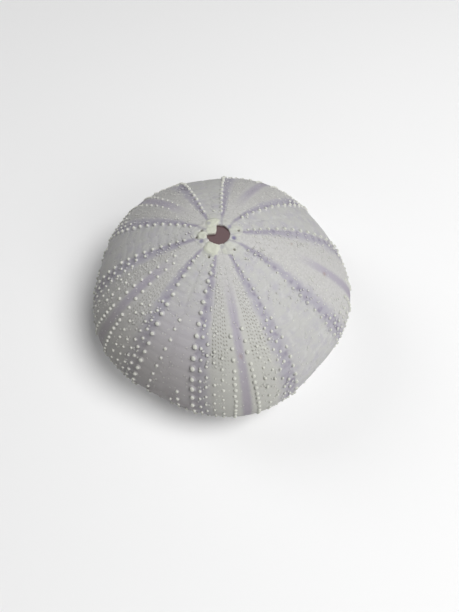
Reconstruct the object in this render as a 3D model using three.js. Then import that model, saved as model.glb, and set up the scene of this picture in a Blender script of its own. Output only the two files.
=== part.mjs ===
// Sea urchin shell: the bare, hollow test of a regular urchin, standing mouth side down.
// Millimetres, +Z up. The origin is the middle of the footprint, on the surface that it stands on.
// One closed wall runs from the small vent on top to the wide mouth underneath, and carries rows of knobs.
import * as THREE from 'three';

const rad = THREE.MathUtils.degToRad;
const { clamp, lerp, smoothstep } = THREE.MathUtils;

// Driving dimensions
const RADIUS = 45; // at the widest level
const HEIGHT = 51;
const WIDEST_Z = 19;
const WALL = 1.6;
const DOME_R_POWER = 1.23; // over 1 makes the dome a little conical
const DOME_Z_POWER = 1.2;
const CORNER_BULGE = 0.021; // five soft corners, at the narrow zones
const FRONT = -Math.PI / 2; // the middle of the front narrow zone
const LEAN_X = -0.55; // the top's place off the middle of the base
const LEAN_Y = 1.15;
const LEAN_FROM = 28; // height where the shell starts to lean

// The underside
const BASE_OUTER = 24.5; // the flat ring that it rests on
const BASE_INNER = 19;
const MOUTH_RADIUS = 11.5;
const MOUTH_RISE = 1.8; // how far the mouth's edge is sunk above the base
const GILL_SLIT = 1.6; // depth of the ten notches in the mouth's edge

// The ring of raised plates round the vent
const DISC_RADIUS = 7.4;
const DISC_STAR = 1; // how much further it reaches into the wide zones
const STAR_FADE = 8; // arc length over which the plates below lose that star shape
const DISC_RISE = 0.6;
const DISC_STEP = 0.4;
const VENT_RADIUS = 3.5;
const VENT_DISH = 0.12; // fall of the plates' tops from the axis outwards
const FLAP_X = -0.6; // a leftover plate fills the vent's corner beyond these two edges
const FLAP_Y = 0.1;
const FLAP_TURN = rad(-10.4);
const VENT_MIDDLE = new THREE.Vector2(0.45, -0.85); // of what stays open

// Plates, which set the spacing of the knobs
const PLATE = 3.5;
const PLATE_GROWTH = 6; // arc length over which the plates grow to full size
const PLATE_SHRINK = 0.25; // share lost between the widest level and the base
const STAGGER = 0.25; // of a plate, up on one side of a narrow zone and down on the other

// Knobs: a large row each side of a wide zone, and a small row each side of a narrow zone's middle
const LARGE = { radius: 1.1, height: 0.95, sides: 5 };
const LARGE_FROM = 8;
const SMALL = { radius: 0.85, height: 0.6, sides: 4 };
const SMALL_FROM = [28, 24, 20, 16, 14]; // arc length where they begin in each narrow zone
const KNOB_MIN = 0.5; // size of the knobs at the ends of a row, as a share
const KNOB_ROOM = 1.25; // width of a knob's strip of shell, over the knob's own
const KNOB_CLEARANCE = 0.2; // above the surface that the shell stands on
const LARGE_ROW = rad(21.6); // from the middle of a narrow zone, at and below the widest level
const LARGE_ROW_BOW = rad(14.5); // the rows bow away from it on the slope, then close in at the vent
const LARGE_ROW_CROSSING = 0.77; // share of the way up where they are back at the first angle
const SMALL_ROW = rad(3.7); // from the middle of a narrow zone, on the slope
const SMALL_ROW_OPENING = rad(1.1); // how much wider the rows stand at the widest level
const MIDDLE_MIN = rad(0.3); // half the plain band between the small rows, at the least

const FIFTH = (2 * Math.PI) / 5;

// The meridian from the top of the axis to the mouth's edge, as [radius, height] points
function meridianPoints(steps = 240) {
  const points = [];
  for (let i = 0; i <= steps; i++) {
    const t = (Math.PI / 2) * (1 - i / steps);
    const r = RADIUS * Math.max(Math.cos(t), 0) ** DOME_R_POWER;
    points.push([r, WIDEST_Z + (HEIGHT - WIDEST_Z) * Math.sin(t) ** DOME_Z_POWER]);
  }
  for (let i = 1; i <= steps; i++) {
    const t = (Math.PI / 2) * (i / steps);
    points.push([lerp(BASE_OUTER, RADIUS, Math.cos(t)), WIDEST_Z * (1 - Math.sin(t))]);
  }
  for (let i = 0; i <= steps; i++) {
    const t = i / steps;
    points.push([lerp(BASE_INNER, MOUTH_RADIUS, t), MOUTH_RISE * t * t]);
  }
  return points;
}

const meridian = meridianPoints();
const arc = [0];
for (let i = 1; i < meridian.length; i++) {
  const [a, b] = [meridian[i - 1], meridian[i]];
  arc.push(arc[i - 1] + Math.hypot(b[0] - a[0], b[1] - a[1]));
}
const MOUTH_ARC = arc.at(-1);
const WIDEST_ARC = arc[meridian.findIndex((p) => p[0] >= RADIUS)];
const BASE_ARC = arc[meridian.findIndex((p) => p[1] < 1e-9)];
const FLAT_END_ARC = BASE_ARC + BASE_OUTER - BASE_INNER;

// Radius, height and outward normal at an arc length down the meridian
function along(s) {
  const i = Math.max(1, arc.findIndex((a) => a >= Math.min(s, MOUTH_ARC)));
  const [a, b] = [meridian[i - 1], meridian[i]];
  const length = arc[i] - arc[i - 1];
  const t = (Math.min(s, MOUTH_ARC) - arc[i - 1]) / length;
  return {
    r: lerp(a[0], b[0], t),
    z: lerp(a[1], b[1], t),
    nr: (a[1] - b[1]) / length,
    nz: (b[0] - a[0]) / length,
  };
}

// The point at an angle and an arc length, lifted off the shell's outer face
function place(angle, s, lift) {
  const p = along(s);
  const swell = CORNER_BULGE * (p.r / RADIUS) ** 1.2 * Math.cos(5 * (angle - FRONT));
  const r = p.r * (1 + swell) + p.nr * lift;
  return [r * Math.cos(angle), r * Math.sin(angle), p.z + p.nz * lift];
}

// Arc lengths of the plates' edges, from the disc to the flat ring
function plateEdges() {
  const start = DISC_RADIUS + DISC_STEP;
  const edges = [start];
  while (edges.at(-1) < BASE_ARC) {
    const s = edges.at(-1);
    const grown = 1 - 0.5 * Math.exp((DISC_RADIUS - s) / PLATE_GROWTH);
    const shrunk = 1 - PLATE_SHRINK * smoothstep(s, WIDEST_ARC, BASE_ARC);
    edges.push(s + PLATE * grown * shrunk);
  }
  const stretch = (BASE_ARC - start) / (edges.at(-1) - start);
  return edges.map((s) => start + (s - start) * stretch);
}

// A row's knobs are smaller towards the vent and the base
function knobScale(s) {
  const x = clamp((s - DISC_RADIUS) / (BASE_ARC - DISC_RADIUS), 0, 1);
  return KNOB_MIN + (1 - KNOB_MIN) * Math.sin(Math.PI * x) ** 0.7;
}

// The lines down half a fifth of the shell, as angles from the middle of its narrow zone
const PER_HALF = 6;
const LINES = 10 * PER_HALF;
const SMALL_STRIP = 1;
const LARGE_STRIP = 4;
const SLIT_LINE = 4;
function halfLines(at) {
  const s = Math.max(at, DISC_RADIUS);
  const r = along(s).r;
  const up = clamp(1 - s / WIDEST_ARC, 0, 1);
  const small = (KNOB_ROOM * SMALL.radius * knobScale(s)) / r;
  const large = (KNOB_ROOM * LARGE.radius * knobScale(s)) / r;
  const smallRow = SMALL_ROW + SMALL_ROW_OPENING * smoothstep(s, 0.5 * WIDEST_ARC, WIDEST_ARC);
  const middle = Math.max(smallRow - small, MIDDLE_MIN);
  const smallEdge = middle + 2 * small;
  const largeRow = LARGE_ROW + LARGE_ROW_BOW * up * (LARGE_ROW_CROSSING - up);
  const between = lerp(smallEdge, largeRow - large, 0.45);
  const last = Math.min(largeRow + large, FIFTH / 2 - rad(1));
  return [0, middle, smallEdge, between, largeRow - large, last, FIFTH / 2];
}

// One line's angle, which side of its narrow zone it is on, and its place in that half
function line(i, s) {
  const index = i % LINES;
  const fifth = Math.floor((index + PER_HALF) / (2 * PER_HALF));
  const step = index - fifth * 2 * PER_HALF;
  const spot = Math.abs(step);
  const side = Math.sign(step);
  return { angle: FRONT + fifth * FIFTH + side * halfLines(s)[spot], fifth: fifth % 5, side, spot };
}

// How far the plates' edges are pushed down the shell by the star shape of the disc
function starPush(angle, s) {
  const fade = clamp(1 - (s - DISC_RADIUS) / STAR_FADE, 0, 1);
  return -DISC_STAR * Math.cos(5 * (angle - FRONT)) * fade;
}

// The vent's edge seen from its middle: a circle with one corner filled by the leftover plate
function ventPoint(angle) {
  const { x, y } = VENT_MIDDLE;
  const dx = Math.cos(angle - FLAP_TURN);
  const dy = Math.sin(angle - FLAP_TURN);
  const b = x * dx + y * dy;
  const toX = (FLAP_X - x) / dx;
  const toY = (FLAP_Y - y) / dy;
  let reach = Math.sqrt(b * b + VENT_RADIUS ** 2 - VENT_MIDDLE.lengthSq()) - b;
  if (dx < 0 && y + dy * toX > FLAP_Y) reach = Math.min(reach, toX);
  if (dy > 0 && x + dx * toY < FLAP_X) reach = Math.min(reach, toY);
  const point = new THREE.Vector2(x + dx * reach, y + dy * reach);
  return point.rotateAround(new THREE.Vector2(), FLAP_TURN);
}

const positions = [];
const triangles = [];
function vertex(x, y, z) {
  const lean = smoothstep(z, LEAN_FROM, HEIGHT);
  positions.push(x + LEAN_X * lean, y + LEAN_Y * lean, z);
  return positions.length / 3 - 1;
}

// A strip of triangles between two closed rings of vertices, except for the cells left to knobs
function strip(upper, lower, skipped = () => false) {
  for (let i = 0; i < LINES; i++) {
    if (skipped(i)) continue;
    const next = (i + 1) % LINES;
    triangles.push([upper[i], lower[i], lower[next]], [upper[i], lower[next], upper[next]]);
  }
}

// Fills the gap between a cell's corners and a knob's foot. Both run counterclockwise, with rising turns.
function zip(outer, foot) {
  const turnAt = (ring, k) => {
    if (k > ring.length) return Infinity;
    return k < ring.length ? ring[k].turn : ring[0].turn + 2 * Math.PI;
  };
  let i = 0;
  let j = 0;
  while (i < outer.length || j < foot.length) {
    const o = outer[i % outer.length].id;
    const f = foot[j % foot.length].id;
    if (turnAt(outer, i + 1) < turnAt(foot, j + 1)) {
      i++;
      triangles.push([o, outer[i % outer.length].id, f]);
    } else {
      j++;
      triangles.push([o, foot[j % foot.length].id, f]);
    }
  }
}

// One cell of the shell with a faceted knob grown on it
function knobCell(corners, knob) {
  const angle = corners.reduce((sum, c) => sum + c.angle, 0) / corners.length;
  const s = corners.reduce((sum, c) => sum + c.s, 0) / corners.length;
  const r = along(s).r;
  const size = knob.radius * knobScale(s);
  const outer = corners.map((c) => ({ id: c.id, turn: Math.atan2(s - c.s, (c.angle - angle) * r) }));
  outer.sort((p, q) => p.turn - q.turn);
  const foot = [];
  for (let k = 0; k < knob.sides; k++) {
    const turn = -Math.PI + ((k + 0.5) / knob.sides) * 2 * Math.PI;
    const across = (size * Math.cos(turn)) / r;
    foot.push({ id: vertex(...place(angle + across, s - size * Math.sin(turn), 0)), turn });
  }
  zip(outer, foot);
  const tip = vertex(...place(angle, s, knob.height * knobScale(s)));
  foot.forEach((v, k) => triangles.push([v.id, foot[(k + 1) % knob.sides].id, tip]));
}

// A ring of vertices, one to each line. The shift moves each down the shell.
const everyLine = [...Array(LINES).keys()];
function ring(at, lift, shift = () => 0) {
  return everyLine.map((i) => {
    const { angle, side, spot } = line(i, at);
    const s = at + shift(angle, side, spot);
    return { id: vertex(...place(angle, s, lift)), angle, s };
  });
}

// The outer face in three runs of rings: the raised disc, the knobbed plates and the underside
function outerRings() {
  const vent = everyLine.map((i) => {
    const { x, y } = ventPoint(line(i, VENT_RADIUS).angle);
    return { id: vertex(x, y, HEIGHT + DISC_RISE - Math.hypot(x, y) * VENT_DISH) };
  });
  const star = (angle) => starPush(angle, DISC_RADIUS);
  const disc = [
    vent,
    ring((VENT_RADIUS + DISC_RADIUS) / 2, DISC_RISE, (angle) => star(angle) / 2),
    ring(DISC_RADIUS - DISC_STEP, DISC_RISE * 0.7, star),
  ];
  const edges = plateEdges();
  const plates = edges.map((edge, k) => {
    const staggered = k > 0 && k < edges.length - 1 ? STAGGER * (edge - edges[k - 1]) : 0;
    return ring(edge, 0, (angle, side, spot) => {
      const push = spot < PER_HALF ? side * staggered : 0;
      return starPush(angle, edge) + push;
    });
  });
  const slit = (angle, side, spot) => (spot === SLIT_LINE ? -GILL_SLIT : 0);
  const base = [
    ring(FLAT_END_ARC, 0),
    ring((FLAT_END_ARC + MOUTH_ARC) / 2, 0),
    ring(MOUTH_ARC, 0, slit),
  ];
  return { disc, plates, base };
}

// The knob that grows on a cell, if any. None reaches below the surface that the shell stands on.
function knobFor(i, s) {
  const { spot, fifth } = line(i, s);
  const cell = Math.min(spot, line(i + 1, s).spot);
  let knob = null;
  if (cell === LARGE_STRIP && s > LARGE_FROM) knob = LARGE;
  if (cell === SMALL_STRIP && s > SMALL_FROM[fifth]) knob = SMALL;
  return knob && along(s).z > knob.height + KNOB_CLEARANCE ? knob : null;
}

const ids = (row) => row.map((v) => v.id);
function addOuterFace({ disc, plates, base }) {
  const plain = (rings) => rings.slice(1).forEach((lower, k) => strip(ids(rings[k]), ids(lower)));
  plain([...disc, plates[0]]);
  plain([plates.at(-1), ...base]);
  plates.slice(1).forEach((lower, j) => {
    const upper = plates[j];
    const knobs = upper.map((v, i) => knobFor(i, (v.s + lower[i].s) / 2));
    strip(ids(upper), ids(lower), (i) => knobs[i] !== null);
    knobs.forEach((knob, i) => {
      const next = (i + 1) % LINES;
      if (knob) knobCell([lower[i], lower[next], upper[next], upper[i]], knob);
    });
  });
}

// The inner face, a wall's thickness in, is smooth and needs fewer rings. It ends at the two rims.
const INNER_RINGS = 7;
function addInnerFace(vent, mouth) {
  const lip = everyLine.map((i) => {
    const { x, y } = ventPoint(line(i, VENT_RADIUS).angle);
    return vertex(x, y, HEIGHT - WALL);
  });
  const rings = [lip];
  for (let j = 0; j <= INNER_RINGS; j++) {
    rings.push(ids(ring(lerp(DISC_RADIUS, MOUTH_ARC, j / INNER_RINGS), -WALL)));
  }
  rings.slice(1).forEach((lower, j) => strip(lower, rings[j]));
  strip(lip, vent);
  strip(mouth, rings.at(-1));
}

function shellGeometry() {
  const outer = outerRings();
  addOuterFace(outer);
  addInnerFace(ids(outer.disc[0]), ids(outer.base.at(-1)));
  const geometry = new THREE.BufferGeometry();
  geometry.setAttribute('position', new THREE.Float32BufferAttribute(positions, 3));
  geometry.setIndex(triangles.flat());
  geometry.computeBoundingBox();
  const { min, max } = geometry.boundingBox;
  geometry.translate(-(min.x + max.x) / 2, -(min.y + max.y) / 2, 0);
  geometry.computeVertexNormals();
  return geometry;
}

const calcite = new THREE.MeshStandardMaterial({ color: 0xb9b7bd, roughness: 0.75, metalness: 0 });
const shell = new THREE.Mesh(shellGeometry(), calcite);
shell.name = 'shell';

const urchin = new THREE.Group();
urchin.add(shell);
export default urchin;
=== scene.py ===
import math

import bpy
import numpy as np
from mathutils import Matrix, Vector


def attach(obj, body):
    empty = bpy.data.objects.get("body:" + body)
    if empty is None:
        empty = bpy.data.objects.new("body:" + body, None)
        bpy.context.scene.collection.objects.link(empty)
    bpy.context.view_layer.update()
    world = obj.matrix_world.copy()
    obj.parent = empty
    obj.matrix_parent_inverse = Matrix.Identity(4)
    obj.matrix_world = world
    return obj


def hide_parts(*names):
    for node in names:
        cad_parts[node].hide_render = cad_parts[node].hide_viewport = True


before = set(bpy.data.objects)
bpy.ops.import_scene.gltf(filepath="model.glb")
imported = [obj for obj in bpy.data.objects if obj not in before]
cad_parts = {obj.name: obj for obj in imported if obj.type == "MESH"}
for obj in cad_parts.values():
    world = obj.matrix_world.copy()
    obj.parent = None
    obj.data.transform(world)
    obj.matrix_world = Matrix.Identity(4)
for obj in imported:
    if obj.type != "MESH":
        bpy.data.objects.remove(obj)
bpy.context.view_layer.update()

MM = 0.001
RNG = np.random.default_rng(7)

# The shell's form, as in the frame
RADIUS = 45.0
HEIGHT = 51.0
WIDEST_Z = 19.0
WALL = 1.6
WALL_SPARE = 0.35  # more thickness, in which the grooves and pores are sunk
DOME_R_POWER = 1.23
DOME_Z_POWER = 1.2
CORNER_BULGE = 0.021
BULGE_POWER = 1.2
BASE_OUTER = 24.5
BASE_INNER = 19.0
MOUTH_RADIUS = 11.5
MOUTH_RISE = 1.8
LEAN = (-0.55, 1.15)  # the top's place off the middle of the base
LEAN_FROM = 28.0
MERIDIAN_STEPS = 400

# Directions round the axis
FRONT = -math.pi / 2
FIFTH = 2 * math.pi / 5
HALF = 36.0  # degrees from the middle of a narrow zone to that of a wide one
LEFT_FRONT = math.radians(-126)  # the middle of the left front wide zone
PHOTO_TURN = math.radians(-10.4)  # the camera looks this far round from the front

# The rows beside the left front wide zone stray on the way down
DRIFT = math.radians(1.3)
DRIFT_WIDTH = math.radians(18)
DRIFT_ARCS = (25, 60)

# Parts of the shell with a colour of their own, and the part with painted shade, by the middle and the reach
# of each round the axis
SHADES = {
    "mauve": (LEFT_FRONT, math.radians(38)),
    # green: the greenish front, whose lower rim also gets a little of the painted shade
    "green": (FRONT, math.radians(22)),
    # painted shade: the left front, turned away from the key light, is darkened low down in its colour
    "painted_shade": (math.radians(-142), math.radians(48)),
    "late": (math.radians(-18), math.radians(25)),  # here the band down the narrow zone starts later
}

# The ring of plates round the vent
DISC_RADIUS = 7.4
DISC_STAR = 1.0
STAR_FADE = 8.0
DISC_STEP = 0.4
DISC_RISE = 0.6
DISC_CREAM = 0.28
VENT_RADIUS = 3.5
VENT_MIDDLE = (0.45, -0.85)
VENT_RIM = 0.06  # share of the disc's width that is rounded down into the vent
VENT_RIM_DROP = 0.25
FLAP_X = -0.5  # a leftover plate fills the vent's corner beyond these two edges
FLAP_Y = 0.0
FLAP_ROUND = 2.0
FLAP_MIDDLE = (-1.9, 1.3)
FLAP_SIZE = 1.9
CHIPS = ((0.012, 13), (0.01, 23))  # unevenness of the vent's edge: share of the reach, and how many
DISC_BUMPS = ((0.13, 2.2, 5), (0.11, 0.9, 6))  # height, size and seed

# The plates, pores and blue spots are seen from the camera's side: x to the right and y to the back.
# Each plate has its middle's angle and radius, its half length and half width, its rise and paleness.
GENITAL_PLATES = (
    (-111, 5.3, 2.2, 2.5, 0.50, 1.0),
    (-58, 5.7, 1.9, 2.2, 0.20, 0.6),
    (16, 5.8, 1.9, 2.0, 0.16, 0.5),
    (112, 4.7, 1.7, 2.3, 0.50, 1.0),
    (184, 4.9, 1.5, 1.5, 0.42, 0.9),
)
PLATE_CORNER = 2.6
MOAT_DEPTH = 0.07
OCULAR_SPOTS = ((-75, 4.6, 0.3), (-14, 4.8, 1.0), (39, 4.3, 0.45), (128, 4.9, 0.35), (205, 5.6, 0.8))
OCULAR_SIZE = 0.75
OCULAR_DIP = 0.2
GENITAL_PORES = ((-2.8, -7.4), (4.7, -5.0), (6.1, 1.6), (-5.1, 1.5), (-6.6, -0.8))
GENITAL_PORE = 0.4
GENITAL_PORE_DEPTH = 0.8

# Plates of the shell, and the lines between its zones
PLATE = 3.5
PLATE_GROWTH = 6.0
PLATE_SHRINK = 0.25
STAGGER = 0.25
LARGE_ROW = 21.6  # degrees from the narrow zone's middle, at the widest level
LARGE_ROW_BOW = 14.5
LARGE_ROW_CROSSING = 0.77
SMALL_ROW = 3.7  # degrees from the narrow zone's middle, near the top
SMALL_ROW_OPENING = 1.1
PORE_EDGE = 8.7  # degrees from the pore zone's outer edge to the large row

# The grid of the wall. The cells are counted across the five zones of half a fifth.
ROWS_PER_PLATE = 6
CELLS = (3, 2, 12, 8, 10)
DISC_ROWS = 26
INNER_ROWS = 14
MOUTH_ROWS = 3

# The wall's relief: grooves by depth and half width, and pores
PLATE_SEAM = (0.11, 0.3)
WIDE_SEAM = (0.12, 0.9)
NARROW_SEAM = (0.07, 0.6)
PORE_SEAM = (0.08, 0.05)
PORE_DEPTH = 0.17
PORE_RIDGE = 0.07
PORE_STRENGTH = np.array([1.0, 0.4, 0.7, 0.7, 0.85])  # by narrow zone
PORES_START = (11, 20)  # arcs
PORES_FAINTER = (34, 46)
PORES_END = (98, 101)
UNEVENNESS = (0.12, 14, 3)  # height, size and seed
UNDER_LIFT = 0.55  # how far the wall stands off the ground under the knobs' tips
UNDER_ARCS = (76, 88)
GILL_SLIT = 1.3
GILL_PLACE = 4.35  # in the wide zone
GILL_WIDTH = 0.28
GILL_ROWS = 12

# Three small brown specks: angle in degrees, arc, radius and strength
STAINS = ((-19.7, 36.7, 0.9, 0.6), (-90.0, 36.4, 0.7, 0.8), (-8.1, 23.9, 0.7, 0.5))

# A knob's outline as shares of its foot: a low cone with a ball on it
KNOB_OUTLINE = (
    (1.35, -0.12),
    (1.06, 0.05),
    (0.86, 0.17),
    (0.66, 0.27),
    (0.62, 0.40),
    (0.67, 0.53),
    (0.63, 0.67),
    (0.47, 0.79),
    (0.24, 0.85),
)
SMALL_OUTLINE = ((1.3, -0.15), (0.9, 0.12), (0.78, 0.3), (0.78, 0.48), (0.62, 0.7), (0.32, 0.83))
GRANULE_OUTLINE = ((1.45, -0.15), (1.05, 0.2), (0.6, 0.55))
KNOB_TOP = 0.87
LARGE_SIDES = 14
SMALL_SIDES = 9
GRANULE_SIDES = 5

# The rows of knobs. Values in fives are by narrow zone, and pairs are for its left and its right side.
KNOB_MIN = 0.56
LARGE_TALL = 1.08
SMALL_TALL = 1.0
LARGE_FIRST = 8.3  # arc of the first large knob
LARGE_SIZES = ((0.96, 0.88), (0.76, 0.92), (0.92, 0.92), (0.92, 0.84), (0.82, 0.84))
WORN = ((0.0, 0.26), (0.26, 0.05), (0.0, 0.0), (0.0, 0.0), (0.0, 0.0))  # share lost by the upper large knobs
WORN_TO = (32.0, 60.0)  # arcs where the wear ends
CROWDED_FROM = 38.0  # arc below which the small rows have more than one knob to a plate
CROWDED_STEP = 0.6
UNDER_END = 97.0
SMALL_FROM = (28.0, 48.0, 38.0, 20.0, 14.0)
SMALL_SIZES = (0.70, 0.70, 0.60, 0.54, 0.68)
NARROW_ROWS = (
    # share of the way from the small row to the large one, first arc, size, phase
    (0.27, 31.0, 0.56, 0.1),
    (0.47, 29.0, 0.52, 0.6),
    (0.66, 28.0, 0.56, 0.0),
    (0.81, 24.0, 0.62, 0.5),
)
NARROW_LATER = (3.0, 18.0, 12.0, 12.0, 0.0)
WIDE_ROWS = (
    # share of the way from the large row to the wide zone's middle, later start, size, phase
    (0.27, 8.0, 0.66, 0.0),
    (0.52, 0.0, 0.72, 0.5),
    (0.76, 4.0, 0.60, 0.0),
)
WIDE_FROM = ((50.0, 62.0), (62.0, 60.0), (60.0, 60.0), (60.0, 48.0), (46.0, 60.0))
WANDERING_FROM = 27.0
WANDERING_ARCS = (23, 54)
WANDERING_SIZE = 0.6
COLLAR_KNOBS = 5
COLLAR_SIZES = (0.22, 0.34)
GRANULES = (
    # zones from and to, how many on each half plate, size, height
    (0.2, 0.9, 1, 0.24, 0.5),
    (2.1, 3.0, 5, 0.3, 0.6),
    (3.1, 3.8, 3, 0.34, 0.9),
    (4.15, 4.97, 4, 0.24, 0.32),
)
GRANULES_FROM = 3  # arc from the disc's edge to the first ones


# The map of the surface
def smooth(x, low, high):
    t = np.clip((np.asarray(x, float) - low) / (high - low), 0, 1)
    return t * t * (3 - 2 * t)


def meridian(steps=MERIDIAN_STEPS):
    t = np.linspace(math.pi / 2, 0, steps)
    dome_r = RADIUS * np.maximum(np.cos(t), 0) ** DOME_R_POWER
    dome_z = WIDEST_Z + (HEIGHT - WIDEST_Z) * np.sin(t) ** DOME_Z_POWER
    t = np.linspace(0, math.pi / 2, steps)[1:]
    side_r = BASE_OUTER + (RADIUS - BASE_OUTER) * np.cos(t)
    side_z = WIDEST_Z * (1 - np.sin(t))
    t = np.linspace(0, 1, steps)
    under_r = BASE_INNER + (MOUTH_RADIUS - BASE_INNER) * t
    under_z = MOUTH_RISE * t * t
    return np.concatenate([dome_r, side_r, under_r]), np.concatenate([dome_z, side_z, under_z])


LINE_R, LINE_Z = meridian()
LINE_S = np.concatenate([[0], np.cumsum(np.hypot(np.diff(LINE_R), np.diff(LINE_Z)))])
LINE_NR = -np.gradient(LINE_Z, LINE_S)
LINE_NZ = np.gradient(LINE_R, LINE_S)
MOUTH_ARC = LINE_S[-1]
WIDEST_ARC = LINE_S[np.argmax(LINE_R)]
BASE_ARC = LINE_S[np.argmax(LINE_Z < 1e-9)]
FLAT_END_ARC = BASE_ARC + BASE_OUTER - BASE_INNER


def radius_at(s):
    return np.interp(s, LINE_S, LINE_R)


def bell(gap, width):
    """1 where there is no gap, fading to both sides."""
    return np.exp(-(gap / width) ** 2)


def nearness(angle, middle, width):
    """1 at one angle round the axis, fading to both sides."""
    away = (angle - middle + math.pi) % (2 * math.pi) - math.pi
    return bell(away, width)


def shades(angle):
    """How near each point is to the parts of the shell with a colour of their own, and to the part with
    painted shade.
    """
    return {name: nearness(angle, middle, width) for name, (middle, width) in SHADES.items()}


def place(angle, s, lift):
    """Points at angles and arc lengths, lifted off the shell's outer face."""
    angle = angle + DRIFT * nearness(angle, LEFT_FRONT, DRIFT_WIDTH) * smooth(s, *DRIFT_ARCS)
    base = radius_at(s)
    swell = CORNER_BULGE * (base / RADIUS) ** BULGE_POWER * np.cos(5 * (angle - FRONT))
    r = base * (1 + swell) + np.interp(s, LINE_S, LINE_NR) * lift
    z = np.interp(s, LINE_S, LINE_Z) + np.interp(s, LINE_S, LINE_NZ) * lift
    return np.stack([r * np.cos(angle), r * np.sin(angle), z + 0 * r], -1)


def turned(x, y, angle):
    c, s = math.cos(angle), math.sin(angle)
    return x * c - y * s, x * s + y * c


def plate_edges():
    """Arc lengths of the plates' edges, from the disc to the mouth."""
    start = DISC_RADIUS + DISC_STEP
    edges = [start]
    while edges[-1] < BASE_ARC:
        s = edges[-1]
        grown = 1 - 0.5 * math.exp((DISC_RADIUS - s) / PLATE_GROWTH)
        edges.append(s + PLATE * grown * (1 - PLATE_SHRINK * float(smooth(s, WIDEST_ARC, BASE_ARC))))
    edges = start + (np.array(edges) - start) * (BASE_ARC - start) / (edges[-1] - start)
    last = edges[-1] - edges[-2]
    more = round((MOUTH_ARC - BASE_ARC) / last)
    return np.concatenate([edges, np.linspace(BASE_ARC, MOUTH_ARC, more + 1)[1:]])


EDGES = plate_edges()
PLATES = len(EDGES) - 1


def arc_of(plate):
    return np.interp(plate, np.arange(PLATES + 1), EDGES)


def large_row(s):
    up = np.clip(1 - np.maximum(s, DISC_RADIUS) / WIDEST_ARC, 0, 1)
    return LARGE_ROW + LARGE_ROW_BOW * up * (LARGE_ROW_CROSSING - up)


def small_row(s):
    return SMALL_ROW + SMALL_ROW_OPENING * smooth(s, 0.5 * WIDEST_ARC, WIDEST_ARC)


def zone_bounds(s):
    """Angles between the zones: plain band, small row, pore zone, violet band and wide zone."""
    s = np.maximum(s, DISC_RADIUS)
    row = small_row(s)
    room = np.minimum(np.degrees(1.0 / radius_at(s)), 0.6 * row)
    large = large_row(s)
    return np.stack([0 * row, row - room, row + room, large - PORE_EDGE, large, HALF + 0 * row], -1)


def zone_of(across, s):
    """The zone and the place in it, as one number from 0 at a narrow zone's middle to 5."""
    bounds = zone_bounds(s)
    zone = np.zeros_like(across)
    for k in range(5):
        width = bounds[..., k + 1] - bounds[..., k]
        zone += np.clip((across - bounds[..., k]) / width, 0, 1)
    return zone


def star_push(angle, s):
    """How far the disc's five corners move the points near it along the arc."""
    return -DISC_STAR * np.cos(5 * (angle - FRONT)) * np.clip(1 - (s - DISC_RADIUS) / STAR_FADE, 0, 1)


def waves(points, size, seed):
    """A smooth, seeded unevenness from about -1 to 1, in lumps of about the given size."""
    rng = np.random.default_rng(seed)
    total = 0
    for _ in range(9):
        direction = rng.normal(size=3)
        direction *= 2 * math.pi / (size * rng.uniform(0.7, 1.6) * np.linalg.norm(direction))
        total = total + np.sin(points @ direction + rng.uniform(0, 2 * math.pi))
    return total / 5


# The grid's lines, which run down the shell
def column_places():
    """The fifth, side, zone and place in the zone of each line of the grid, all the way round."""
    half = [(k, j / n) for k, n in enumerate(CELLS) for j in range(n)] + [(4, 1.0)]
    right = [(1, k, f) for k, f in half]
    left = [(-1, k, f) for k, f in half[1:-1]]
    return [(fifth, side, k, f) for fifth in range(5) for side, k, f in left[::-1] + right]


C_FIFTH, C_SIDE, C_ZONE, C_PART = [np.array(values) for values in zip(*column_places())]
COLUMNS = np.arange(len(C_FIFTH))
C_MIDLINE = ((C_ZONE == 0) & (C_PART == 0)) | ((C_ZONE == 4) & (C_PART == 1))


def column_angles(s):
    """Each line's angle from its narrow zone's middle in degrees, and round the axis in radians."""
    bounds = np.broadcast_to(zone_bounds(np.asarray(s, float)), (len(COLUMNS), 6))
    low = bounds[COLUMNS, C_ZONE]
    high = bounds[COLUMNS, C_ZONE + 1]
    across = low + C_PART * (high - low)
    return across, FRONT + C_FIFTH * FIFTH + C_SIDE * np.radians(across)


# The disc
def vent_edge(angle):
    """The vent's edge seen from its middle: a circle with one corner filled by a leftover plate."""
    dx = np.cos(angle - PHOTO_TURN)
    dy = np.sin(angle - PHOTO_TURN)
    x, y = VENT_MIDDLE
    b = x * dx + y * dy
    reach = np.sqrt(b * b + VENT_RADIUS ** 2 - x * x - y * y) - b
    to_x = (FLAP_X - x) / np.minimum(dx, -1e-3)
    to_y = (FLAP_Y - y) / np.maximum(dy, 1e-3)
    flap = (to_x ** FLAP_ROUND + to_y ** FLAP_ROUND) ** (1 / FLAP_ROUND)
    reach = np.minimum(reach, flap) * (1 + sum(share * np.sin(count * angle) for share, count in CHIPS))
    return np.stack(turned(x + dx * reach, y + dy * reach, PHOTO_TURN), -1)


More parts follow.
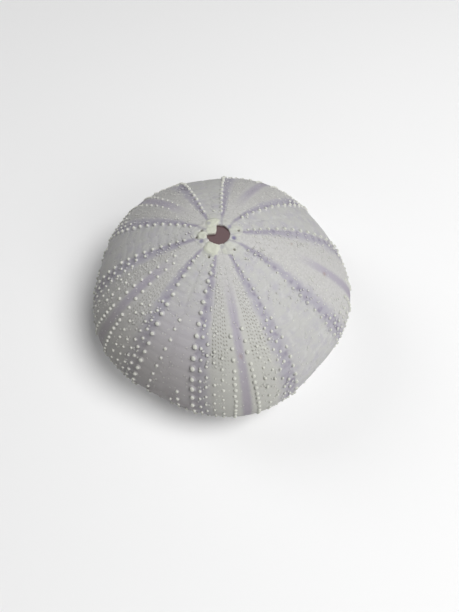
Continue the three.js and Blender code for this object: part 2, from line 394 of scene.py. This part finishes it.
def disc_surface(xy):
    """The disc's rise above the dome, and how cream, blue and deep in a pore each point is."""
    x, y = turned(xy[..., 0], xy[..., 1], -PHOTO_TURN)
    r = np.hypot(x, y)
    angle = np.arctan2(y, x)
    outer = DISC_RADIUS - DISC_STAR * np.cos(5 * (angle + PHOTO_TURN - FRONT))
    rise = 0.15 * DISC_RISE * smooth(outer - r, -1.2, 1.6)
    cream = DISC_CREAM * smooth(outer - r, -1.2, 1.5)
    flat = np.stack([x, y, 0 * x], -1)
    bump = sum(height * waves(flat, size, seed) for height, size, seed in DISC_BUMPS)
    for turn, middle, length, width, lift, pale in GENITAL_PLATES:
        off = angle - math.radians(turn)
        out = np.abs(r * np.cos(off) - middle) / length
        aside = np.abs(r * np.sin(off)) / width
        edge = (out ** PLATE_CORNER + aside ** PLATE_CORNER) ** (1 / PLATE_CORNER) + 0.8 * bump
        front_side = np.cos(off) > 0
        top = (1 - smooth(edge, 0.6, 1.04)) * front_side
        moat = bell(edge - 1.08, 0.06) * front_side
        rise = rise * (1 - top) + lift * top - MOAT_DEPTH * moat
        cream = np.maximum(cream, pale * (1 - smooth(edge, 0.88, 1.0)) * front_side)
    flap = 1 - smooth(np.hypot(x - FLAP_MIDDLE[0], y - FLAP_MIDDLE[1]), FLAP_SIZE - 0.3, FLAP_SIZE)
    rise = rise * (1 - flap) + 0.45 * DISC_RISE * flap
    cream = np.maximum(cream, flap)
    blue = 0 * r
    for turn, middle, strength in OCULAR_SPOTS:
        gap = np.hypot(x - middle * math.cos(math.radians(turn)), y - middle * math.sin(math.radians(turn)))
        blue = np.maximum(blue, strength * (1 - smooth(gap, 0.3 * OCULAR_SIZE, 1.4 * OCULAR_SIZE)))
    pore = 0 * r
    for px, py in GENITAL_PORES:
        gap = np.hypot(x - px, y - py)
        pore = np.maximum(pore, 1 - smooth(gap, 0.5 * GENITAL_PORE, 1.3 * GENITAL_PORE))
    rise = rise - OCULAR_DIP * blue - GENITAL_PORE_DEPTH * pore + bump * (1 - 0.25 * cream)
    return rise, cream * (1 - blue), blue, pore


def disc_rings(edge, angles):
    """Rings of points from the vent's edge to the first plates, with their colour values."""
    start = DISC_RADIUS + DISC_STEP
    last = place(angles, start + star_push(angles, start), 0)[:, :2]
    share = np.linspace(0, 1, DISC_ROWS + 1)[:-1, None, None]
    xy = edge * (1 - share) + last * share
    rise, cream, blue, hole = disc_surface(xy)
    from_axis = np.minimum(np.hypot(xy[..., 0], xy[..., 1]), LINE_R.max())
    dome = np.interp(from_axis, LINE_R[:MERIDIAN_STEPS], LINE_Z[:MERIDIAN_STEPS])
    z = dome + rise - VENT_RIM_DROP * (1 - smooth(share[..., 0], 0, VENT_RIM))
    return np.concatenate([xy, z[..., None]], -1), cream, blue, hole


# The wall
def stain_at(angle, s):
    stain = 0 * s
    for turn, arc, radius, strength in STAINS:
        gap = np.hypot(radius_at(s) * (angle - math.radians(turn)), s - arc)
        stain = np.maximum(stain, strength * (1 - smooth(gap, 0.3 * radius, radius)))
    return stain


def under_lift(s):
    """How far the wall underneath is raised, to leave room for the knobs under it."""
    return -UNDER_LIFT * smooth(s, *UNDER_ARCS) * (1 - 0.6 * smooth(s, FLAT_END_ARC + 2, MOUTH_ARC))


def groove(gap, depth, width):
    return -depth * bell(gap, width)


def wall_lift(across, s, side_plate, zone, row):
    """How far the outer face stands off the plain form, and how deep in a pore each point is."""
    plate_height = np.interp(side_plate, np.arange(PLATES), np.diff(EDGES))
    from_edge = np.abs(side_plate - np.round(side_plate)) * plate_height
    wide = smooth(zone, 3.9, 4.2)
    lift = groove(from_edge, *PLATE_SEAM) * (0.35 + 0.65 * wide) * smooth(s, 8, 14)
    lift += groove(HALF - across, *WIDE_SEAM) + groove(across, *NARROW_SEAM)
    lift += groove(zone - 3.0, *PORE_SEAM)
    step = np.round((zone - 2) * CELLS[2]).astype(int)
    in_zone = (zone > 2.001) & (zone < 2.999)
    pair = (step - 1) // 4
    on_ridge = (row[:, None] + pair) % 2 == 1
    strength = smooth(s, *PORES_START) * (1 - smooth(s, *PORES_END)) * (1 - 0.9 * smooth(s, *PORES_FAINTER))
    strength = strength * PORE_STRENGTH[C_FIFTH]
    is_pore = in_zone & (step % 2 == 1) & ~on_ridge
    pore = is_pore * strength * RNG.uniform(0.7, 1, is_pore.shape)
    lift += PORE_RIDGE * (in_zone & on_ridge) * strength - PORE_DEPTH * pore
    lift += under_lift(s)
    return lift, pore


def outer_rings():
    """The outer face below the disc: its points, and each one's zone, angles, arc, plate and pore."""
    rows = np.arange(PLATES * ROWS_PER_PLATE + 1)
    stagger = np.where(C_MIDLINE, 0.0, C_SIDE * STAGGER)
    ends = smooth(rows, 0, 4) * (1 - smooth(rows, rows[-1] - 4, rows[-1]))
    local = rows[:, None] / ROWS_PER_PLATE + 0 * C_SIDE
    s = arc_of(local + ends[:, None] * stagger)
    across = np.zeros_like(s)
    angle = np.zeros_like(s)
    for i in range(len(rows)):
        across[i], angle[i] = column_angles(s[i])
    s = s + star_push(angle, s)
    zone = C_ZONE + C_PART + 0 * s
    slit = bell(zone - GILL_PLACE, GILL_WIDTH) * smooth(rows, rows[-1] - GILL_ROWS, rows[-1])[:, None]
    s = np.minimum(s, MOUTH_ARC) - GILL_SLIT * slit
    lift, pore = wall_lift(across, s, local, zone, rows)
    outer = place(angle, s, lift)
    height, size, seed = UNEVENNESS
    outward = outer / np.linalg.norm(outer, axis=-1, keepdims=True)
    outer += height * waves(outer, size, seed)[..., None] * outward
    return outer, zone, across, angle, s, local, pore


def inner_rings(edge):
    """The inner face from the mouth up, ending with the vent's lower edge."""
    rings = []
    for arc in np.linspace(MOUTH_ARC, DISC_RADIUS, INNER_ROWS):
        _, angles = column_angles(arc)
        rings.append(place(angles, np.full(len(COLUMNS), arc), -WALL - WALL_SPARE))
    lip = np.concatenate([edge, np.full((len(COLUMNS), 1), HEIGHT - WALL)], -1)
    return np.array(rings + [lip])


def mouth_rings(above, below):
    """The mouth's rounded rim, between the outer face's last ring and the inner face's first one."""
    share = np.linspace(0, 1, MOUTH_ROWS + 2)
    rings = above + (below - above) * share[1:-1, None, None]
    bulge = np.sin(np.linspace(0, math.pi, MOUTH_ROWS + 2))[1:-1, None, None]
    rings[..., :2] *= 1 - 0.03 * bulge
    return rings


def build_wall():
    """The whole wall as one grid: the disc, the plates, the mouth's rim, the inside and the vent's rim."""
    _, vent_angles = column_angles(DISC_RADIUS)
    edge = vent_edge(vent_angles)
    disc, cream, blue, hole = disc_rings(edge, vent_angles)
    outer, zone, across, angle, s, local, pore = outer_rings()
    inner = inner_rings(edge)
    mouth = mouth_rings(outer[-1], inner[0])
    parts = (disc, outer, mouth, inner)
    rings = np.concatenate(parts)
    mesh = grid_to_mesh("wall", rings)

    def stack(*values):
        """The values for the disc, the outer face, the mouth's rim and the inner face, as one grid."""
        return np.concatenate([np.broadcast_to(v, part.shape[:2]) for v, part in zip(values, parts)])

    store(
        mesh,
        zone=stack(C_ZONE + C_PART, zone, 5, 5),
        aside=stack(9, radius_at(s) * np.radians(across), 9, 9),
        down=stack(np.linspace(3, 8, DISC_ROWS)[:, None], s, MOUTH_ARC, MOUTH_ARC),
        plate=stack(0.5, local, 0.5, 0.5),
        pore=stack(hole, pore, 0, 0),
        cream=stack(cream, 0, 0, 0),
        blue=stack(blue, 0, 0, 0),
        stain=stack(0, stain_at(angle, s), 0, 0),
        inside=stack(0, 0, 0.5, 1),
        knob=stack(0, 0, 0, 0),
        **{name: stack(0, value, 0, 0) for name, value in shades(angle).items()},
    )
    slots = np.zeros(rings.shape[:2], np.int32)
    slots[-len(inner) + 1:-2] = 1
    mesh.polygons.foreach_set("material_index", slots.ravel())
    return mesh


# Meshes
def grid_to_mesh(name, rings):
    """A closed mesh from rings of points, the last ring joined back to the first."""
    rows, columns = rings.shape[:2]
    index = np.arange(rows * columns).reshape(rows, columns)
    below = np.roll(index, -1, 0)
    quads = np.stack([index, below, np.roll(below, -1, 1), np.roll(index, -1, 1)], -1).reshape(-1, 4)
    return mesh_from(name, rings.reshape(-1, 3), quads)


def mesh_from(name, points, faces):
    mesh = bpy.data.meshes.new(name)
    mesh.vertices.add(len(points))
    mesh.vertices.foreach_set("co", (points * MM).astype(np.float32).ravel())
    mesh.loops.add(faces.size)
    mesh.loops.foreach_set("vertex_index", faces.astype(np.int32).ravel())
    mesh.polygons.add(len(faces))
    mesh.polygons.foreach_set("loop_start", np.arange(0, faces.size, faces.shape[1], dtype=np.int32))
    mesh.update(calc_edges=True)
    mesh.validate()
    mesh.shade_smooth()
    return mesh


def store(mesh, **values):
    for key, value in values.items():
        layer = mesh.attributes.new(key, "FLOAT", "POINT")
        layer.data.foreach_set("value", np.ascontiguousarray(value, np.float32).ravel())


# Knobs
def knob_form(outline, sides):
    """A knob's points as shares of its size, and its triangles."""
    turn = np.arange(sides) * 2 * math.pi / sides
    rings = [np.stack([r * np.cos(turn), r * np.sin(turn), 0 * turn + h], -1) for r, h in outline]
    points = np.concatenate(rings + [np.array([[0, 0, KNOB_TOP]])])
    faces = []
    for k in range(len(outline) - 1):
        for j in range(sides):
            n = (j + 1) % sides
            a, b, c, d = k * sides + j, k * sides + n, (k + 1) * sides + n, (k + 1) * sides + j
            faces += [(a, b, c), (a, c, d)]
    last = (len(outline) - 1) * sides
    faces += [(last + j, last + (j + 1) % sides, len(points) - 1) for j in range(sides)]
    foot = [(0, j + 1, j) for j in range(1, sides - 1)]
    return points, np.array(faces + foot)


def build_knobs(name, spots, outline, sides, pale=1.0):
    """One joined mesh of knobs at the spots: rows of angle, arc, size, the wall's lift there, and height."""
    form, faces = knob_form(outline, sides)
    angle, s, size, under, tall = [np.array(v)[:, None] for v in zip(*spots)]
    a = angle + size * form[:, 0] / radius_at(s)
    down = s - size * form[:, 1]
    points = place(a, down, under + size * tall * form[:, 2])
    all_faces = (faces[None] + np.arange(len(spots))[:, None, None] * len(form)).reshape(-1, 3)
    mesh = mesh_from(name, points.reshape(-1, 3), all_faces)
    turn = (a - FRONT) / FIFTH
    across = np.abs(turn - np.round(turn)) * 2 * HALF
    zero = np.zeros_like(across)
    height = np.broadcast_to(form[:, 2] / KNOB_TOP, across.shape)
    store(
        mesh,
        zone=zone_of(across, down),
        aside=radius_at(down) * np.radians(across),
        down=down,
        plate=np.interp(down, EDGES, np.arange(PLATES + 1)),
        pore=zero,
        cream=zero,
        blue=zero,
        inside=zero,
        knob=pale * np.clip(height, 0, 1),
        **shades(a),
    )
    return mesh


def knob_scale(s):
    x = np.clip((s - DISC_RADIUS) / (BASE_ARC - DISC_RADIUS), 0, 1)
    return KNOB_MIN + (1 - KNOB_MIN) * np.sin(math.pi * x) ** 0.7


def lift_limit(s, size, tall):
    """A knob's height, held back underneath so that it reaches the ground and no further."""
    room = np.interp(s, LINE_S, LINE_Z) - under_lift(s)
    reach = size * tall * KNOB_TOP
    steep = -np.interp(s, LINE_S, LINE_NZ)
    if steep * reach > room:
        return tall * room / (steep * reach)
    return tall


def spot_at(angle, s, size, tall):
    return (angle, s, size, float(under_lift(s)), float(lift_limit(s, size, tall)))


def row_spots(fifth, side, angle_at, first, last, size,
              step=1.0, phase=0.5, tall=SMALL_TALL, keep=1.0, worn=0.0):
    """The knobs of one row, whose angle from its narrow zone's middle is a function of the arc."""
    spots = []
    plate = phase
    while plate < PLATES:
        s = float(arc_of(plate + side * STAGGER))
        plate += step if s > CROWDED_FROM else 1.0
        if s < first or s > last or RNG.random() > keep:
            continue
        angle = FRONT + fifth * FIFTH + side * math.radians(float(angle_at(s)))
        s += float(star_push(angle, s)) + RNG.normal(0, 0.09)
        own = size * float(knob_scale(s)) * RNG.uniform(0.88, 1.08)
        own = max(own, 0.62 * size) if s > WIDEST_ARC else own
        own *= 1 - worn * (1 - float(smooth(s, *WORN_TO)))
        angle += RNG.normal(0, 0.08) / float(radius_at(s))
        spots.append(spot_at(angle, s, own, tall))
    return spots


def between(low, high, share):
    return lambda s: low(s) + share * (high(s) - low(s))


def half_turn(s):
    return HALF


def wandering_row(s):
    """The row that starts in the middle of the left front wide zone and draws away from it."""
    return HALF + (large_row(s) - HALF) * 0.5 * smooth(s, *WANDERING_ARCS)


def large_spots():
    spots = []
    for fifth in range(5):
        for side in (-1, 1):
            size = LARGE_SIZES[fifth][side > 0]
            worn = WORN[fifth][side > 0]
            spots += row_spots(
                fifth, side, large_row, LARGE_FIRST, UNDER_END, size, tall=LARGE_TALL, worn=worn)
    return spots


def side_row_spots(fifth, side):
    """The small knobs on one side of a narrow zone, out to the middle of the wide zone beside it."""
    first = SMALL_FROM[fifth]
    size = SMALL_SIZES[fifth]
    spots = row_spots(fifth, side, small_row, first, UNDER_END, size, step=CROWDED_STEP, phase=0.3)
    for share, start, size, phase in NARROW_ROWS:
        row = between(small_row, large_row, share)
        first = start + NARROW_LATER[fifth]
        spots += row_spots(fifth, side, row, first, UNDER_END - 3, size, phase=phase, keep=0.93)
    for share, later, size, phase in WIDE_ROWS:
        row = between(large_row, half_turn, share)
        first = WIDE_FROM[fifth][side > 0] + later
        spots += row_spots(fifth, side, row, first, UNDER_END - 3, size, phase=phase, keep=0.9)
    return spots


def collar_spots():
    """Small knobs crowded round the disc, in the wide zones."""
    spots = []
    for fifth in range(5):
        for _ in range(COLLAR_KNOBS):
            s = DISC_RADIUS + RNG.uniform(-0.6, 4.5)
            angle = FRONT + (fifth + 0.5) * FIFTH + RNG.uniform(-0.3, 0.3)
            spots.append((angle, s + float(star_push(angle, s)), RNG.uniform(*COLLAR_SIZES), 0.0, SMALL_TALL))
    return spots


def small_spots():
    spots = []
    for fifth in range(5):
        for side in (-1, 1):
            spots += side_row_spots(fifth, side)
    spots += row_spots(4, 1, wandering_row, WANDERING_FROM, UNDER_END - 3, WANDERING_SIZE, phase=0.2)
    return spots + collar_spots()


def granule_spots():
    """Fine grains scattered over the zones."""
    half_plates = [(fifth, side, k) for fifth in range(5) for side in (-1, 1) for k in range(PLATES)]
    kinds = [(low, high, size, tall) for low, high, count, size, tall in GRANULES for _ in range(count)]
    spots = []
    for fifth, side, k in half_plates:
        for low, high, size, tall in kinds:
            zone = RNG.uniform(low, high)
            s = float(arc_of(k + RNG.uniform(0, 1) + side * STAGGER))
            if s < DISC_RADIUS + GRANULES_FROM or s > UNDER_END:
                continue
            bounds = zone_bounds(s)
            part = int(zone)
            across = bounds[part] + (zone - part) * (bounds[part + 1] - bounds[part])
            own = size * RNG.uniform(0.75, 1.25) * float(knob_scale(s))
            angle = FRONT + fifth * FIFTH + side * math.radians(float(across))
            spots.append(spot_at(angle, s, own, tall))
    return spots


# Materials
class Graph:
    """Short names for the shader nodes that the materials are made of."""

    def __init__(self, name):
        self.material = bpy.data.materials.new(name)
        self.material.use_nodes = True
        self.nodes = self.material.node_tree.nodes
        self.links = self.material.node_tree.links
        self.nodes.clear()

    def put(self, socket, value):
        if isinstance(value, bpy.types.NodeSocket):
            self.links.new(value, socket)
        else:
            socket.default_value = value

    def stored(self, name):
        node = self.nodes.new("ShaderNodeAttribute")
        node.attribute_name = name
        return node.outputs["Fac"]

    def maths(self, operation, *values):
        node = self.nodes.new("ShaderNodeMath")
        node.operation = operation
        for socket, value in zip(node.inputs, values):
            self.put(socket, value)
        return node.outputs[0]

    def times(self, a, b):
        return self.maths("MULTIPLY", a, b)

    def rise(self, value, low, high, start=0.0, end=1.0):
        """A smooth change from one value to another, between two limits of the first argument."""
        node = self.nodes.new("ShaderNodeMapRange")
        node.interpolation_type = "SMOOTHSTEP"
        for socket, number in zip(node.inputs, (value, low, high, start, end)):
            self.put(socket, number)
        return node.outputs[0]

    def mix(self, share, a, b):
        node = self.nodes.new("ShaderNodeMix")
        node.data_type = "RGBA"
        self.put(node.inputs["Factor"], share)
        self.put(node.inputs["A"], a)
        self.put(node.inputs["B"], b)
        return node.outputs["Result"]

    def noise(self, per_metre, detail=3.0, roughness=0.5):
        where = self.nodes.new("ShaderNodeTexCoord")
        node = self.nodes.new("ShaderNodeTexNoise")
        self.put(node.inputs["Vector"], where.outputs["Object"])
        node.inputs["Scale"].default_value = per_metre
        node.inputs["Detail"].default_value = detail
        node.inputs["Roughness"].default_value = roughness
        return node.outputs["Fac"]

    def surface(self, **values):
        """The shader and the output, with the shader's sockets named with _ for a space."""
        shader = self.nodes.new("ShaderNodeBsdfPrincipled")
        for name, value in values.items():
            self.put(shader.inputs[name.replace("_", " ")], value)
        out = self.nodes.new("ShaderNodeOutputMaterial")
        self.links.new(shader.outputs["BSDF"], out.inputs["Surface"])
        return self.material


def srgb(r, g, b):
    """A colour from its 0 to 255 values on a screen, as Blender's linear ones."""
    def linear(v):
        v /= 255
        return v / 12.92 if v <= 0.04045 else ((v + 0.055) / 1.055) ** 2.4
    return (linear(r), linear(g), linear(b), 1)


WIDE_COLOUR = srgb(181, 181, 178)
WIDE_CLOUD = srgb(174, 172, 177)
WIDE_PALE = srgb(190, 190, 188)
PORE_ZONE_COLOUR = srgb(178, 177, 175)
RIDGE_COLOUR = srgb(190, 189, 187)
GREENISH = srgb(189, 190, 181)
BAND_COLOUR = srgb(163, 160, 169)
BAND_DEEP = srgb(131, 125, 142)
MIDDLE_COLOUR = srgb(166, 161, 171)
MIDDLE_DEEP = srgb(140, 132, 145)
MAUVE = srgb(156, 145, 153)
LILAC = srgb(178, 174, 179)
# painted shade: the darker colour of the lower rim on the side away from the key light
PAINTED_SHADE_COLOUR = srgb(142, 139, 135)
STAIN = srgb(146, 124, 112)
KNOB_COLOUR = srgb(202, 203, 194)
CREAM = srgb(196, 198, 184)
OCULAR_BLUE = srgb(118, 114, 142)
# painted shade in the pores, which are holes through the wall but only shallow pits here
PAINTED_PORE_SHADE = srgb(134, 132, 123)
INSIDE_COLOUR = srgb(160, 132, 132)
INSIDE_DEEP = srgb(140, 114, 118)
# painted light: the inside glows a little, standing in for light let through the thin wall
PAINTED_INSIDE_LIGHT = srgb(116, 104, 105)
PAINTED_INSIDE_LIGHT_STRENGTH = 0.62
PAPER = (0.86, 0.86, 0.86, 1)
GRAIN_DEPTH = 0.00012  # metres


def wide_zone_colour(g, down, from_edge):
    """Clouded grey, with the plates' seams, and with lilac and mauve in the left front."""
    mauve = g.stored("mauve")
    colour = g.mix(g.rise(g.noise(300, 4, 0.6), 0.42, 0.68), WIDE_COLOUR, WIDE_CLOUD)
    colour = g.mix(g.rise(g.noise(420, 3, 0.6), 0.52, 0.68, 0.0, 0.7), colour, WIDE_PALE)
    seam = g.times(g.rise(from_edge, 0.0, 0.06, 1.0, 0.0), 0.55)
    colour = g.mix(seam, colour, WIDE_CLOUD)
    marked = g.times(g.times(seam, mauve), g.rise(down, 20, 36, 0.0, 0.8))
    colour = g.mix(marked, colour, BAND_DEEP)
    colour = g.mix(g.times(mauve, g.rise(down, 14, 40)), colour, LILAC)
    low_down = g.times(g.rise(down, 44, 66), g.rise(g.noise(120, 2), 0.44, 0.62, 0.0, 0.8))
    return g.mix(g.times(low_down, mauve), colour, MAUVE)


def narrow_zone_colour(g, down, aside, fine):
    """Pale, greenish in front, with a violet band down the middle."""
    green = g.stored("green")
    pale = g.mix(g.rise(fine, 0.35, 0.65), PORE_ZONE_COLOUR, RIDGE_COLOUR)
    pale = g.mix(g.times(g.times(green, g.rise(down, 14, 40)), 0.7), pale, GREENISH)
    middle = g.mix(g.rise(down, 34, 72), MIDDLE_COLOUR, MIDDLE_DEEP)
    narrowed = g.times(aside, g.rise(down, 30, 60, 1.0, 0.75))
    narrowed = g.times(narrowed, g.rise(green, 0.0, 1.0, 1.0, 1.15))
    started = g.maths("SUBTRACT", down, g.times(g.stored("late"), 11.0))
    in_middle = g.times(g.rise(narrowed, 0.6, 2.1, 1.0, 0.0), g.rise(started, 12, 26))
    return g.mix(in_middle, pale, middle)


def band_colour(g, down, zone, from_edge):
    """The violet band under a large row, deeper in patches and near the disc."""
    patch = g.times(g.rise(from_edge, 0.08, 0.34, 1.0, 0.0), g.rise(zone, 3.3, 3.9))
    patch = g.times(patch, g.rise(g.noise(260, 2), 0.3, 0.6))
    patch = g.maths("MAXIMUM", patch, g.rise(down, 10, 26, 0.42, 0.0))
    return g.mix(patch, BAND_COLOUR, BAND_DEEP)


def shell_material():
    g = Graph("calcite")
    ragged = g.times(g.maths("SUBTRACT", g.noise(520, 5, 0.65), 0.5), 0.9)
    zone = g.maths("ADD", g.stored("zone"), ragged)
    aside = g.maths("ADD", g.stored("aside"), ragged)
    down = g.stored("down")
    from_edge = g.maths("PINGPONG", g.stored("plate"), 0.5)
    fine = g.noise(1500, 3, 0.6)

    colour = narrow_zone_colour(g, down, aside, fine)
    colour = g.mix(g.rise(zone, 2.85, 3.5), colour, band_colour(g, down, zone, from_edge))
    colour = g.mix(g.rise(zone, 3.7, 4.2), colour, wide_zone_colour(g, down, from_edge))
    colour = g.mix(g.times(g.rise(fine, 0.5, 0.75), 0.18), colour, WIDE_CLOUD)
    # Painted shade: the lower rim is darkened in its colour at the left front, and less in front, where the
    # key light from the right falls off
    painted_shade = g.maths("MAXIMUM", g.stored("painted_shade"), g.times(g.stored("green"), 0.43))
    painted_shade = g.times(painted_shade, g.rise(down, 26, 48, 0.0, 0.72))
    colour = g.mix(painted_shade, colour, PAINTED_SHADE_COLOUR)
    colour = g.mix(g.stored("stain"), colour, STAIN)
    colour = g.mix(g.stored("cream"), colour, CREAM)
    colour = g.mix(g.stored("blue"), colour, OCULAR_BLUE)
    # The knobs there get some of the painted shade too
    knob = g.mix(g.times(painted_shade, 0.45), KNOB_COLOUR, PAINTED_SHADE_COLOUR)
    colour = g.mix(g.rise(g.stored("knob"), 0.1, 0.45), colour, knob)
    # Painted shade in the pores and the genital pores
    colour = g.mix(g.rise(g.stored("pore"), 0.15, 0.8), colour, PAINTED_PORE_SHADE)
    colour = g.mix(g.stored("inside"), colour, INSIDE_COLOUR)

    bump = g.nodes.new("ShaderNodeBump")
    bump.inputs["Strength"].default_value = 0.35
    bump.inputs["Distance"].default_value = GRAIN_DEPTH
    g.put(bump.inputs["Height"], g.maths("ADD", fine, g.times(g.noise(4200, 2), 0.5)))
    roughness = g.rise(fine, 0.2, 0.8, 0.62, 0.8)
    return g.surface(Base_Color=colour, Roughness=roughness, Normal=bump.outputs["Normal"])


def lining_material():
    """The inside, with painted light: it glows a little, standing in for the light that the thin wall lets
    through, so it is never quite dark.
    """
    g = Graph("lining")
    cloud = g.mix(g.noise(130, 4), INSIDE_COLOUR, INSIDE_DEEP)
    return g.surface(
        Base_Color=cloud, Roughness=0.8, Emission_Color=PAINTED_INSIDE_LIGHT, Emission_Strength=PAINTED_INSIDE_LIGHT_STRENGTH)


# The shell's pieces
def add_piece(name, mesh, *materials):
    piece = bpy.data.objects.new(name, mesh)
    bpy.context.collection.objects.link(piece)
    for material in materials:
        mesh.materials.append(material)
    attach(piece, "root")
    return piece


def leaned(mesh):
    """The mesh's points in millimetres, with the top moved a little off the middle."""
    points = np.empty(len(mesh.vertices) * 3, np.float32)
    mesh.vertices.foreach_get("co", points)
    points = points.reshape(-1, 3) / MM
    points[:, :2] += smooth(points[:, 2:], LEAN_FROM, HEIGHT) * LEAN
    return points


calcite = shell_material()
meshes = {
    "wall": build_wall(),
    "large_knobs": build_knobs("large_knobs", large_spots(), KNOB_OUTLINE, LARGE_SIDES),
    "small_knobs": build_knobs("small_knobs", small_spots(), SMALL_OUTLINE, SMALL_SIDES),
    "granules": build_knobs("granules", granule_spots(), GRANULE_OUTLINE, GRANULE_SIDES, pale=0.5),
}
placed = {name: leaned(mesh) for name, mesh in meshes.items()}
everything = np.concatenate(list(placed.values()))[:, :2]
AXIS = -(everything.min(0) + everything.max(0)) / 2  # where the shell's axis ends up, seen from above
for name, points in placed.items():
    points[:, :2] += AXIS
    meshes[name].vertices.foreach_set("co", (points * MM).astype(np.float32).ravel())
    meshes[name].update()
wall = add_piece("wall", meshes["wall"], calcite, lining_material())
for name in ("large_knobs", "small_knobs", "granules"):
    add_piece(name, meshes[name], calcite)
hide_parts("shell")

# Floor
FLOOR_REACH = 1500.0
floor_corners = np.array([[-1, -1, 0], [1, -1, 0], [1, 1, 0], [-1, 1, 0]]) * FLOOR_REACH
floor_mesh = mesh_from("floor", floor_corners, np.array([[0, 1, 2, 3]]))
floor = bpy.data.objects.new("floor", floor_mesh)
bpy.context.collection.objects.link(floor)
floor_mesh.materials.append(Graph("paper").surface(Base_Color=PAPER, Roughness=0.9))

# Camera, from a fit to the photograph. Its frame is 459 by 612 pixels.
PHOTO_HEIGHT = 612
CAMERA_ELEVATION = math.radians(61.75)
CAMERA_DISTANCE = 159.3
CAMERA_AIM_Z = 25.6
SENSOR = 36
FOCAL_PIXELS = 459.1
AIM_PIXEL = (220.8, 276.7)
FRAME_MIDDLE = (229.5, 306.0)


def in_view(right, back, up):
    """A direction seen from the front of the photograph, turned into the frame."""
    return Vector((*turned(right, back, PHOTO_TURN), up))


aim = Vector((AXIS[0], AXIS[1], CAMERA_AIM_Z)) * MM
towards = in_view(0, -math.cos(CAMERA_ELEVATION), math.sin(CAMERA_ELEVATION))
camera_data = bpy.data.cameras.new("camera")
camera_data.sensor_width = SENSOR
camera_data.lens = SENSOR * FOCAL_PIXELS / PHOTO_HEIGHT
camera_data.shift_x = (FRAME_MIDDLE[0] - AIM_PIXEL[0]) / PHOTO_HEIGHT
camera_data.shift_y = (AIM_PIXEL[1] - FRAME_MIDDLE[1]) / PHOTO_HEIGHT
camera_data.clip_start = 0.01
camera = bpy.data.objects.new("camera", camera_data)
camera.location = aim + towards * CAMERA_DISTANCE * MM
camera.rotation_euler = towards.to_track_quat("Z", "Y").to_euler()
bpy.context.collection.objects.link(camera)
bpy.context.scene.camera = camera

# Lights, in metres and watts, with their directions seen from the front of the photograph
LIGHT_DISTANCE = 0.9
LIGHT_SIZE = 0.5
LIGHTS = (
    ("key", (0.44, -0.10, 0.87), 7.2),
    ("front", (0.5, -0.6, 0.6), 2.2),
    ("back left", (-0.7, 0.4, 0.6), 1.9),
)
ROOM_LIGHT = 0.04


def soft_light(name, direction, power):
    data = bpy.data.lights.new(name, "AREA")
    data.shape = "DISK"
    data.size = LIGHT_SIZE
    data.energy = power
    light = bpy.data.objects.new(name, data)
    where = in_view(*direction).normalized()
    light.location = aim + where * LIGHT_DISTANCE
    light.rotation_euler = where.to_track_quat("Z", "Y").to_euler()
    bpy.context.collection.objects.link(light)


for light in LIGHTS:
    soft_light(*light)
world = bpy.data.worlds.new("studio")
world.use_nodes = True
background = world.node_tree.nodes["Background"]
background.inputs["Color"].default_value = (1, 1, 1, 1)
background.inputs["Strength"].default_value = ROOM_LIGHT
bpy.context.scene.world = world
bpy.context.scene.view_settings.view_transform = "Standard"
